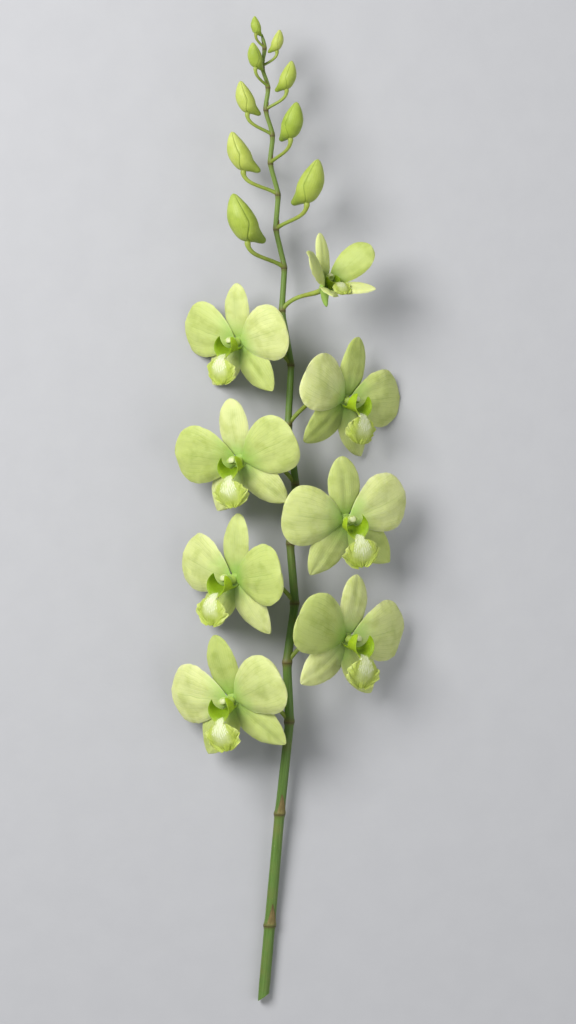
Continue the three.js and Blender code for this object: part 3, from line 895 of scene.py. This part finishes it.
def blade_skin(blade, angle, layer, crease, bloom, piece, thickness):
    """One petal or sepal: it arches back to its tip, curves across, and waves along its edges."""
    rows, columns = (54, 41) if blade.width > WIDE_BLADE else (50, 31)
    crowding = 0.46 * math.pi
    u = 1 - (1 - np.linspace(0, 1, rows)[:, None]) ** 1.8
    v = np.sin(np.linspace(-crowding, crowding, columns))[None, :] / math.sin(crowding)
    flower = bloom.index
    lift = math.radians(blade.lift + bloom.raised + 3 * sway(flower, piece))
    bend = math.radians(blade.bend + 6 * sway(flower, piece + 3))
    length = blade.length * (1 + 0.03 * sway(flower, piece + 5))
    peak = blade.rise / (blade.rise + blade.fall)
    outline = (u / peak) ** blade.rise * np.maximum((1 - u) / (1 - peak), 0) ** blade.fall
    full = blade.width * bloom.narrow / 2
    half = np.maximum.reduce([full * outline, blade.foot * (1 - u), BLADE_POINT + 0 * u])
    half = half * (1 + 0.012 * ripple(9 * u, flower + piece) * smooth(u, 0.2, 0.5))
    slope = lift - bend * u
    out = length / bend * (math.sin(lift) - np.sin(slope))
    rise = length / bend * (np.cos(slope) - math.cos(lift))
    wave = blade.wave * u * np.sin(5.5 * u + 1.6 * np.sign(v) + flower + piece)
    cup = (blade.cup + wave) * v * v * half / full
    frill = ripple(17 * u + 3 * np.sign(v), flower + 2 * piece) * smooth(u, 0.1, 0.4)
    frill = 0.4 * blade.wave * v**6 * frill
    fold = -crease * hump(v * half, CREASE_WIDTH) * smooth(u, 0.02, 0.2) * smooth(1 - u, 0.02, 0.35)
    fan = v * (1 - VEIN_SPREAD * u * u)
    swells = np.sin(10 * fan + 1.5 * np.sin(4 * u + flower) + piece) * smooth(u, 0.12, 0.4) * (1 - 0.4 * u)
    twist = math.radians(4.5) * sway(flower + 3, piece) * u * v * half
    turned_edge = -0.5 * np.abs(v) ** 9 * smooth(u, 0.2, 0.5)
    height = cup + frill + fold + 0.018 * full * swells + twist + turned_edge
    middle = np.stack([
        v * half + 0 * height,
        ROOT_RADIUS + out - height * np.sin(slope),
        layer + rise + height * np.cos(slope),
    ], 2)
    turned = np.array(Matrix.Rotation(-math.radians(angle), 3, "Z"))
    thick = BLADE_RIM + (thickness - BLADE_RIM) * (1 - v**6) * (1 - u**10)
    values = {"along": u, "across": v + 0 * u, "tone": 0.5 + 0.5 * sway(flower, piece + 1)}
    return sheet(middle @ turned.T, thick, values)


def neck_skins():
    """The bloom's neck and the blunt chin behind it."""
    sides = 24
    t = np.linspace(0, 1, 22)
    neck = bezier([NECK_FRONT, NECK_BEND, NECK_END], t)
    chin = bezier([CHIN_START, CHIN_BEND, CHIN_TIP], t)
    neck_radius = mix(3.5, 1.5, t * t) * np.sqrt(1 - 0.97 * (1 - np.minimum(t / 0.32, 1)) ** 2)
    chin_radius = mix(3.1, 0.9, t**1.6) * np.sqrt(1 - 0.95 * np.maximum((t - 0.86) / 0.14, 0) ** 2)
    ribs = 1 + 0.03 * np.cos(6 * ring_angles(sides))
    neck_rings = round_rings(neck, X, neck_radius, neck_radius, sides, ribs)
    chin_rings = round_rings(chin, X, chin_radius, chin_radius, sides)
    return [
        tube(neck_rings, {"along": -0.15 * t[:, None], "tone": NECK_TONE}),
        tube(chin_rings, {"along": -0.2 * t[:, None], "tone": NECK_TONE}),
    ]


def petal_skin(bloom, settings):
    """The neck, chin, petals and sepals of one bloom."""
    thickness = settings.blade_thickness / MM
    blades = [
        blade_skin(blade, angle, layer, crease, bloom, piece, thickness)
        for piece, (blade, angle, layer, crease) in enumerate(blades_of(settings))
    ]
    return joined(neck_skins() + blades)


def lip_half_width(u):
    """Half the lip's width at u of its length, measured round its curve."""
    side_lobes = SIDE_LOBE_HALF * hump(u - 0.29, 0.14)
    front_lobe = FRONT_LOBE_HALF * np.sqrt(np.maximum(1 - ((u - 0.76) / 0.25) ** 2, 0))
    waist = LIP_WAIST_HALF - 2 * u
    return np.cbrt(side_lobes**3 + front_lobe**3 + waist**3)


def lip_turn(u):
    """How far the lip has turned down from the column's direction at u of its length."""
    return np.radians(8 + 82 * smooth(u, 0.3, 0.8) + 14 * u * u)


def lip_skin(bloom, settings):
    """The lip: side lobes rolled up round the column, a waved front lobe, and ridges between them."""
    rows, columns, steps = 104, 81, 24
    u = np.linspace(0, 1, rows)[:, None]
    v = np.linspace(-1, 1, columns)[None, :]
    length, ruffle_height = settings.lip_length / MM, settings.ruffle / MM
    middle = np.tile(LIP_START, (rows, 1))
    for i in range(steps):
        turn = lip_turn(u[:, 0] * (i + 0.5) / steps)
        middle = middle + np.stack([0 * turn, -np.sin(turn), np.cos(turn)], 1) * (length * u / steps)
    notches = 0.035 * np.sin(31 * u + bloom.index) + 0.03 * np.sin(53 * u + 2 * bloom.index)
    half = lip_half_width(u) * (1 + notches * smooth(u, 0.5, 0.65) * smooth(1 - u, 0.0, 0.08))
    around = v * half
    roll = mix(1 / SIDE_LOBE_ROLL, -1 / FRONT_LOBE_ROLL, smooth(u, 0.34, 0.6))
    roll = np.where(np.abs(roll) < 1e-4, 1e-4, roll)
    curl = (1 - np.cos(roll * around)) / roll
    wave = 1.3 * smooth(u, 0.6, 0.9) * v * v * np.sin(7 * v + bloom.index)
    ruffle = 1.3 * smooth(np.abs(v), 0.5, 1.0) * smooth(u, 0.5, 0.62)
    ruffle = ruffle * ripple(21 * u + 8 * np.abs(v) + 1.1 * np.sign(v), 2.3 * bloom.index)
    tip_ruffle = smooth(u, 0.86, 1.0) * ripple(9 * v, bloom.index + 0.5)
    lift = curl + wave + ruffle_height * (ruffle + tip_ruffle)
    surface = np.stack([
        np.sin(roll * around) / roll,
        middle[:, 1][:, None] + lift * np.cos(lip_turn(u)),
        middle[:, 2][:, None] + lift * np.sin(lip_turn(u)),
    ], 2)
    keel = 0 * around
    for k in range(-4, 5):
        line = k * (0.58 + 0.72 * smooth(u, 0.42, 0.8)) + 0.13 * np.sin(34 * u + 2.1 * k)
        start, end = 0.31 + 0.02 * abs(k), 0.86 - 0.04 * abs(k)
        span = smooth(u, start, start + 0.11) * smooth(u, end, 0.68)
        beads = 0.8 + 0.2 * np.sin(120 * u + 2.6 * k)
        keel = np.maximum(keel, hump(around - line, KEEL_WIDTH) * (1 - 0.12 * abs(k)) * span * beads)
    warts = WART_HEIGHT * smooth(np.abs(around), 7.0, 2.0) * smooth(u, 0.6, 0.7) * smooth(u, 0.98, 0.85)
    warts = warts * np.sin(2.6 * around + 1.0) * np.sin(95 * u)
    thick = LIP_RIM + 0.5 * (1 - v**8) * (1 - u**12)
    values = {"along": u, "across": v, "keel": keel}
    skin = sheet(surface, thick, values, KEEL_HEIGHT * keel + np.maximum(warts, 0))
    skin.points = mix(LIP_START, skin.points, bloom.lip_size)
    return skin


def column_skin():
    """The column: it widens to its rounded cap, with a hollow and two thin wings under the cap."""
    rows, sides = 80, 44
    t = np.linspace(0, 1, rows)
    line = even_points(bezier([COLUMN_START, COLUMN_BEND, COLUMN_TIP], t), rows)
    radius = mix(2.4, 2.0, smooth(t, 0, 0.3)) + 0.6 * smooth(t, 0.3, 0.8)
    cap = 1.8 * np.sqrt(1 - 0.99 * np.clip((t - 0.86) / 0.14, 0, 1) ** 3)
    radius = mix(radius, cap, smooth(t, 0.83, CAP_START))
    angle, row = ring_angles(sides), t[:, None]
    below = np.abs(angle - 1.5 * math.pi)
    hollow = smooth(below, 0.95, 0.45) * smooth(row, 0.62, 0.72) * smooth(row, 0.92, 0.86)
    groove = hump(row - CAP_START, 0.016) * smooth(below, 0.7, 1.2)
    wings = hump(np.abs(np.cos(angle)) - 1, 0.06) * smooth(row, 0.3, 0.8) * smooth(row, 0.88, 0.84)
    cleft = hump(angle - 0.5 * math.pi, 0.16) * smooth(row, CAP_START, 0.9)
    corners = 0.05 * (1 - np.cos(4 * angle)) * smooth(row, CAP_START, 0.92)
    scale = 1 - 0.36 * hollow - 0.1 * groove + 0.24 * wings - 0.07 * cleft + corners
    rings = round_rings(line, X, radius, radius * 0.85, sides, scale)
    # hollow and groove also darken the column's colour there, as painted shade in these recesses
    return tube(rings, {"along": row, "hollow": hollow, "groove": np.maximum(groove, cleft * 0.7)})


class Layout:
    """Where the frame's origin lies in the stem's own layout, and where each bloom stands."""

    def __init__(self, settings):
        self.shapes = {bloom.name: petal_skin(bloom, settings) for bloom in BLOOMS}
        self.matrices = {bloom.name: self.bloom_matrix(i, bloom) for i, bloom in enumerate(BLOOMS)}
        steps = [self.miss(bloom) for bloom in BLOOMS if not bloom.rests]
        self.shift = np.mean(steps, 0)
        for bloom in BLOOMS:
            if bloom.rests:
                drop = self.miss(bloom) - self.shift
                self.matrices[bloom.name] = Matrix.Translation((0, 0, drop[2])) @ self.matrices[bloom.name]

    def bloom_matrix(self, i, bloom):
        y, side = STATIONS[len(BARE_NODES) + i]
        start = axis_point(y, side) + reach_direction(side, bloom.reach, STALK_CLIMB) * bloom.stalk
        turned = (
            Matrix.Rotation(side * math.radians(bloom.turn), 4, "Y")
            @ Matrix.Rotation(math.radians(bloom.nod), 4, "X")
            @ Matrix.Rotation(math.radians(bloom.roll), 4, "Z")
        )
        return Matrix.Translation(start) @ turned @ Matrix.Scale(bloom.size, 4)

    def miss(self, bloom):
        """How far the bloom's node in the frame lies from the bloom's place in the layout."""
        skin = moved(self.shapes[bloom.name], self.matrices[bloom.name])
        return node_middle(bloom.name + "_petals") - middle_of(skin.points)

    def in_frame(self, skin, matrix=None):
        """The skin in the frame, pressed flat where it would sink into the floor."""
        skin = moved(skin, matrix) if matrix is not None else skin
        points = skin.points + self.shift
        low = FLOOR_TOUCH * np.exp(np.minimum(points[:, 2] / FLOOR_TOUCH - 1, 0))
        points[:, 2] = np.where(points[:, 2] < FLOOR_TOUCH, low, points[:, 2])
        return Skin(points, skin.faces, skin.values)


layouts = []


def layout():
    """The layout, worked out once."""
    if not layouts:
        layouts.append(Layout(bpy.context.scene.orchid_bloom))
    return layouts[0]


# Buds

BUD_LINE = ((0, -8.5, -6.5), (0, -5, -2.2), (0, -1.4, 3.4), (0, 0.5, 10.5), (0, 0.4, 18.5), (0, -0.6, 26))
BUD_OUTLINE = (1.5, 3.2, 5.2, 7.1, 8.1, 8.2, 7.6, 6.1, 4.0, 1.2)
BUD_SEAT = np.array((0.0, -1.0, 3.0))
BUD_SEAT_WAY = unit(np.array((0.0, -0.62, 0.78)))
BUD_SEAT_ROW = 0.24
BUD_BODY_LENGTH = 27.0
SEAT_SPREAD = 0.22
SEAM_WIDTH = 0.06


class Bud:
    """One bud's size, place and turn."""

    def __init__(self, i, settings):
        self.name = "bud_%d" % (i + 1)
        self.index = i
        self.share = i / (BUD_COUNT - 1)
        self.y, self.side = STATIONS[len(BARE_NODES) + len(BLOOMS) + i]
        length = mix(settings.first_length, settings.last_length, self.share**0.9) / MM
        self.size = length / BUD_BODY_LENGTH
        self.reach = 62 + 22 * sway(i, 2)
        self.start = axis_point(self.y, self.side)
        out = reach_direction(self.side, self.reach, mix(34, 52, self.share))
        up = reach_direction(self.side, self.reach, 90 - mix(26, 12, self.share))
        inward = -reach_direction(self.side, self.reach, 0)
        chin = unit(inward - up * inward.dot(up))
        self.matrix = np.eye(4)
        self.matrix[:3, :3] = np.stack([np.cross(up, chin), -chin, up], 1)
        self.matrix[:3, 3] = self.start + out * mix(25, 9, self.share)


def bud_skin(bud, settings):
    """A closed bud: it swells from its chin, closes in a soft point, and shows its sepals' seams."""
    rows, sides, seam_side = 72, 84, 19
    line = rounded_line(BUD_LINE, rows)
    t = np.linspace(0, 1, rows)
    outline = np.interp(t, np.linspace(0, 1, len(BUD_OUTLINE)), BUD_OUTLINE)
    window = np.hanning(9)
    padded = np.pad(outline, len(window) // 2, mode="reflect", reflect_type="odd")
    eased = np.convolve(padded, window / window.sum(), "valid")
    radius = eased * np.sqrt(np.clip(t / 0.035, 0.02, 1)) * np.sqrt(np.clip((1 - t) / 0.03, 0.02, 1))
    row, wide = t[:, None], radius[:, None]
    around = (np.arange(sides)[None, :] - sides // 2) * 2 * math.pi / sides
    far_round = np.abs(around)
    side_seam = 2 * math.pi * seam_side / sides
    spread = mix(SEAT_SPREAD, side_seam, smooth(row, BUD_SEAT_ROW, 0.55))
    near = far_round / side_seam * spread
    beyond = spread + (far_round - side_seam) * (math.pi - spread) / (math.pi - side_seam)
    angle = 1.5 * math.pi + np.sign(around) * np.where(far_round < side_seam, near, beyond)
    gap = far_round - side_seam
    point = smooth(row, 1.0, 0.93)
    side_span = smooth(row, BUD_SEAT_ROW + 0.01, 0.3) * point
    front_groove = hump(math.pi - far_round, SEAM_WIDTH) * smooth(row, 0.1, 0.16) * point
    seam = np.maximum(hump(gap, SEAM_WIDTH) * side_span, front_groove)
    laps = -np.clip(gap / 0.075, -1, 1) * np.exp(-np.abs(gap) / 0.3) * side_span
    depth = settings.seam_depth / MM / np.maximum(wide, 0.6)
    outer, inner = np.maximum(-np.sin(angle), 0), np.maximum(np.sin(angle), 0)
    shoulder = 0.07 * outer * hump(row - 0.36, 0.07)
    hollows = outer * hump(row - 0.16, 0.07) + 0.7 * inner * hump(row - 0.22, 0.09)
    lobes = 0.02 * np.cos(3 * (angle - math.pi / 6)) * smooth(row, 0.3, 0.7)
    scale = 1 - depth * seam + 0.02 * laps + lobes + shoulder - 0.1 * hollows
    across, upward = scale * wide * np.cos(angle), scale * wide * 0.9 * np.sin(angle)
    rings = sections(line, *carried_frames(line, -X), across, upward) * bud.size
    # seam also darkens the colour along the seams, as painted shade
    values = {"along": row, "round": around + math.pi, "seam": seam, "tone": 0.5 + 0.5 * sway(bud.index, 4)}
    return tube(rings, values)


# Stem, stalks and bracts

BARE_BRACT_WAY = unit(np.array((0.4, 0, 0.9)))


def at_nodes(y, width, below=0.0):
    """1 at each node of the stem, or a little below it, falling away over the width."""
    return sum(hump(y - place_of + below, width) for place_of, _ in STATIONS)


def stem_skin():
    """The main stem: straight between its nodes, which are swollen, with a slanted cut."""
    knots = np.array([axis_point(0)] + [axis_point(y, side) for y, side in STATIONS] + [axis_point(TIP)])
    near = [y + step for y, _ in STATIONS for step in (-1.0, -0.8, -0.6, -0.4, 0.0, 0.8)]
    y = np.unique(np.concatenate([np.arange(0, TIP - 0.5, 1.7), near, [TIP]]))
    rounding = np.linspace(-3.5, 3.5, 11)
    line = np.zeros((len(y), 3))
    for step in rounding:
        at = np.clip(y + step, 0, TIP)
        line += np.stack([np.interp(at, knots[:, 1], knots[:, k]) for k in range(3)], 1) / len(rounding)
    line[:, 1] = y
    radius = stem_radius(y) * (1 + NODE_SWELL * at_nodes(y, 1.5) + 0.012 * ripple(0.35 * y, 1.0))
    radius = radius * np.where(y > TIP - 3, np.sqrt(np.clip((TIP + 0.4 - y) / 3.4, 0.05, 1)), 1)
    radius[0] *= 0.99
    angle, row = ring_angles(28), y[:, None]
    grooves = 1 - 0.008 * np.cos(6 * angle + 0.02 * row) - 0.012 * np.cos(2 * angle + 0.05 * row)
    wide = radius[:, None] * grooves
    rings = sections(line, X[None], Z[None], wide * np.cos(angle), wide * np.sin(angle))
    rings[..., 1] += CUT_SLANT * smooth(row, 9.0, 0.0) * (rings[..., 0] - line[:, None, 0])
    rings[..., 2] = np.maximum(rings[..., 2], 0.0)
    inner = [cut_ring(rings[0], line[0], share) for share in (0.12, 0.35, 0.6, 0.82, 0.95)]
    rings = np.concatenate([np.array(inner), rings])
    far = np.concatenate([np.zeros(len(inner)), y / TIP])[:, None]
    cut = np.concatenate([np.ones(len(inner)), np.zeros(len(y))])[:, None]
    values = {
        "along": far,
        "side": np.cos(angle),
        "top": np.sin(angle),
        "ridge": 0.5 + 0.5 * np.cos(6 * angle + 0.02 * TIP * far),
        "node": np.clip(at_nodes(TIP * far, 1.3), 0, 1),
        "scar": np.clip(at_nodes(TIP * far, 0.35, 0.6), 0, 1),
        "cut": cut,
    }
    return tube(rings, values)


def cut_ring(rim, centre, share):
    """A ring of the cut face, a little rough and dished."""
    ring = centre + (rim - centre) * share
    ring[:, 1] += 0.25 * (1 - share**2) + 0.06 * np.sin(5 * ring_angles(len(rim))[0] + 9 * share)
    return ring


def stalk_skin(start, leave, end, facing, radius, collar=0.0):
    """A stalk from its node to where it carries a bloom or bud, thicker at both ends."""
    rows, sides = 40, 18
    reach = 0.42 * np.linalg.norm(end - start)
    t = np.linspace(0, 1, rows)
    line = even_points(bezier([start, start + leave * reach, end - facing * reach, end], t), rows)
    width = radius * mix(1, 1.25, smooth(t, 0.5, 0.95)) * (1 + 0.35 * hump(t, 0.1))
    width = width * (1 + collar * hump(t - 0.88, 0.045))
    angle, row = ring_angles(sides), t[:, None]
    ribs = 1 + 0.02 * np.cos(6 * angle + 4 * row) * smooth(row, 0.3, 0.6)
    rings = round_rings(line, unit(np.cross(facing, leave) + 1e-6), width, width, sides, ribs)
    return tube(rings, {"along": row, "ridge": 0.5 + 0.5 * np.cos(3 * angle + 4 * row)})


def bract_skin(y, side, out, length, below):
    """A pointed papery bract that clasps the stem from a little below its node."""
    radius = float(stem_radius(y))
    t, angle = np.linspace(0, 1, 18), ring_angles(20)
    line = axis_point(y, side) + out * (radius * 0.93 + 1.1 * t + 0.2 * np.sin(math.pi * t))[:, None]
    line = line + Y * (length * t - below)[:, None]
    across = mix(radius * 0.95, 0.2, t**1.15)[:, None] * np.cos(angle)
    clasp = 0.16 * across**2 * (1 - t[:, None])
    upward = mix(0.27 * radius, 0.18, t)[:, None] * np.sin(angle) - clasp
    rings = sections(line, unit(np.cross(Y, out))[None], out[None], across, upward)
    return tube(rings, {"along": t[:, None], "round": angle})


def bloom_stalk(i, bloom, settings):
    """The stalk and bract of one bloom, in the stem's layout."""
    y, side = STATIONS[len(BARE_NODES) + i]
    matrix = np.array(layout().matrices[bloom.name])
    facing = unit(matrix[:3, :3] @ (NECK_BEND - NECK_END))
    end = matrix[:3, :3] @ NECK_END + matrix[:3, 3]
    leave = reach_direction(side, bloom.reach + 12, 50)
    stalk = stalk_skin(axis_point(y, side), leave, end, facing, settings.stalk_radius / MM)
    return stalk, bract_skin(y, side, leave, BLOOM_BRACT, 0.25 * BLOOM_BRACT)


def bud_stalk(bud):
    """The stalk and bract of one bud, in the stem's layout."""
    turned = bud.matrix[:3, :3]
    facing = turned @ BUD_SEAT_WAY
    end = turned @ (BUD_SEAT * bud.size) + bud.matrix[:3, 3] - facing * 3.0 * bud.size
    leave = reach_direction(bud.side, bud.reach + 8, 30)
    stalk = stalk_skin(bud.start, leave, end, facing, mix(1.0, 0.6, bud.share), collar=0.25)
    length = mix(4.5, 2.5, bud.share)
    return stalk, bract_skin(bud.y, bud.side, leave, length, 0.25 * length)


# Operators

def dress_blooms(ending, material, node_ending, make):
    """Places one piece on every bloom. make gives its skin in the bloom's own layout."""
    for bloom in BLOOMS:
        skin = layout().in_frame(make(bloom), layout().matrices[bloom.name])
        place(bloom.name + ending, skin, material, [bloom.name + node_ending])


class ORCHID_OT_petals(bpy.types.Operator):
    """Build the petals and sepals of every bloom"""

    bl_idname = "orchid.petals"
    bl_label = "Petals and Sepals"

    def execute(self, context):
        material = petal_material(context.scene.orchid_bloom)
        dress_blooms("_blades", material, "_petals", lambda bloom: layout().shapes[bloom.name])
        return {"FINISHED"}


class ORCHID_OT_lips(bpy.types.Operator):
    """Build the lip of every bloom"""

    bl_idname = "orchid.lips"
    bl_label = "Lips"

    def execute(self, context):
        settings = context.scene.orchid_bloom
        material = lip_material(settings)
        dress_blooms("_labellum", material, "_lip", lambda bloom: lip_skin(bloom, settings))
        return {"FINISHED"}


class ORCHID_OT_columns(bpy.types.Operator):
    """Build the column of every bloom"""

    bl_idname = "orchid.columns"
    bl_label = "Columns"

    def execute(self, context):
        material = column_material(context.scene.orchid_bloom)
        dress_blooms("_pillar", material, "_column", lambda bloom: column_skin())
        return {"FINISHED"}


class ORCHID_OT_buds(bpy.types.Operator):
    """Build the closed buds"""

    bl_idname = "orchid.buds"
    bl_label = "Buds"

    def execute(self, context):
        settings = context.scene.orchid_bud
        material = bud_material(settings)
        for i in range(BUD_COUNT):
            bud = Bud(i, settings)
            skin = layout().in_frame(bud_skin(bud, settings), bud.matrix)
            place(bud.name + "_closed", skin, material, [bud.name])
        return {"FINISHED"}


class ORCHID_OT_stem(bpy.types.Operator):
    """Build the main stem, the stalks and the bracts"""

    bl_idname = "orchid.stem"
    bl_label = "Stem, Stalks and Bracts"

    def execute(self, context):
        settings = context.scene.orchid_stem
        pairs = [bloom_stalk(i, bloom, settings) for i, bloom in enumerate(BLOOMS)]
        pairs += [bud_stalk(Bud(i, context.scene.orchid_bud)) for i in range(BUD_COUNT)]
        stalks, bracts = zip(*pairs)
        bare = [bract_skin(y, 0, BARE_BRACT_WAY, BARE_BRACT, BARE_BRACT_FOOT) for y in BARE_NODES]
        at = layout().in_frame
        place("main_stem", at(stem_skin()), stem_material(settings), ["stem"])
        place("stalks", at(joined(stalks)), stalk_material(settings), ["stem"])
        place("bracts", at(joined([*bracts, *bare])), bract_material(settings), ["stem"])
        return {"FINISHED"}


class ORCHID_OT_stage(bpy.types.Operator):
    """Build the floor, the lights and the camera"""

    bl_idname = "orchid.stage"
    bl_label = "Floor, Lights and Camera"

    def execute(self, context):
        settings = context.scene.orchid_stage
        self.make_floor(settings)
        self.make_light("Key", settings.key_power, KEY_SIZE, KEY_PLACE)
        self.make_light("Fill", settings.fill_power, FILL_SIZE, FILL_PLACE)
        self.make_sky(context.scene)
        self.make_camera(context.scene, settings)
        return {"FINISHED"}

    def make_floor(self, settings):
        s = Shader("Floor")
        speck = s.noise(60.0, 5.0)
        base = s.blend(s.step(speck, 0.3, 0.7) * 0.12, settings.floor_colour, FLOOR_SPECK)
        mesh = bpy.data.meshes.new("Floor")
        half = FLOOR_HALF
        corners = [(-half, -half, 0), (half, -half, 0), (half, half, 0), (-half, half, 0)]
        mesh.from_pydata(corners, [], [(0, 1, 2, 3)])
        mesh.materials.append(s.finish(base, 0.7 + 0.1 * speck, s.bump(speck, 0.3 * MM)))
        floor = add_object("Floor", mesh)

    def make_light(self, name, power, size, place_of):
        light = bpy.data.lights.new(name, "AREA")
        light.energy = power
        light.shape = "DISK"
        light.size = size
        lamp = add_object(name, light)
        lamp.location = place_of
        lamp.rotation_euler = (-lamp.location).to_track_quat("-Z", "Y").to_euler()

    def make_sky(self, scene):
        world = bpy.data.worlds.new("Soft_Sky")
        world.use_nodes = True
        background = world.node_tree.nodes["Background"].inputs
        background["Color"].default_value = (*SKY, 1.0)
        background["Strength"].default_value = SKY_STRENGTH
        scene.world = world
        scene.view_settings.view_transform = "Standard"

    def make_camera(self, scene, settings):
        lens = bpy.data.cameras.new("Camera")
        lens.sensor_fit = "VERTICAL"
        lens.sensor_height = SENSOR_HEIGHT
        lens.lens = lens.sensor_height * settings.camera_height / settings.view_height
        camera = add_object("Camera", lens)
        camera.location = (0.0, 0.0, settings.camera_height)
        scene.camera = camera


class ORCHID_PT_panel(bpy.types.Panel):
    """Settings and steps of the orchid stem."""

    bl_label = "Orchid Stem"
    bl_idname = "ORCHID_PT_panel"
    bl_space_type = "VIEW_3D"
    bl_region_type = "UI"
    bl_category = "Orchid"

    def draw(self, context):
        for group in PROPERTY_NAMES:
            settings = getattr(context.scene, group)
            box = self.layout.box()
            for name in settings.__annotations__:
                box.prop(settings, name)
        for step in STEPS:
            self.layout.operator(step.bl_idname)


STEPS = (ORCHID_OT_petals, ORCHID_OT_lips, ORCHID_OT_columns, ORCHID_OT_buds, ORCHID_OT_stem, ORCHID_OT_stage)
PROPERTY_NAMES = {
    "orchid_bloom": BloomSettings,
    "orchid_bud": BudSettings,
    "orchid_stem": StemSettings,
    "orchid_stage": StageSettings,
}


def register():
    for group in PROPERTY_NAMES.values():
        bpy.utils.register_class(group)
    for name, group in PROPERTY_NAMES.items():
        setattr(bpy.types.Scene, name, bpy.props.PointerProperty(type=group))
    for step in STEPS:
        bpy.utils.register_class(step)
    bpy.utils.register_class(ORCHID_PT_panel)


def unregister():
    bpy.utils.unregister_class(ORCHID_PT_panel)
    for step in reversed(STEPS):
        bpy.utils.unregister_class(step)
    for name, group in PROPERTY_NAMES.items():
        delattr(bpy.types.Scene, name)
        bpy.utils.unregister_class(group)


def main():
    register()
    bpy.ops.orchid.petals()
    bpy.ops.orchid.lips()
    bpy.ops.orchid.columns()
    bpy.ops.orchid.buds()
    bpy.ops.orchid.stem()
    bpy.ops.orchid.stage()
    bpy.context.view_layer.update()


if __name__ == "__main__":
    main()
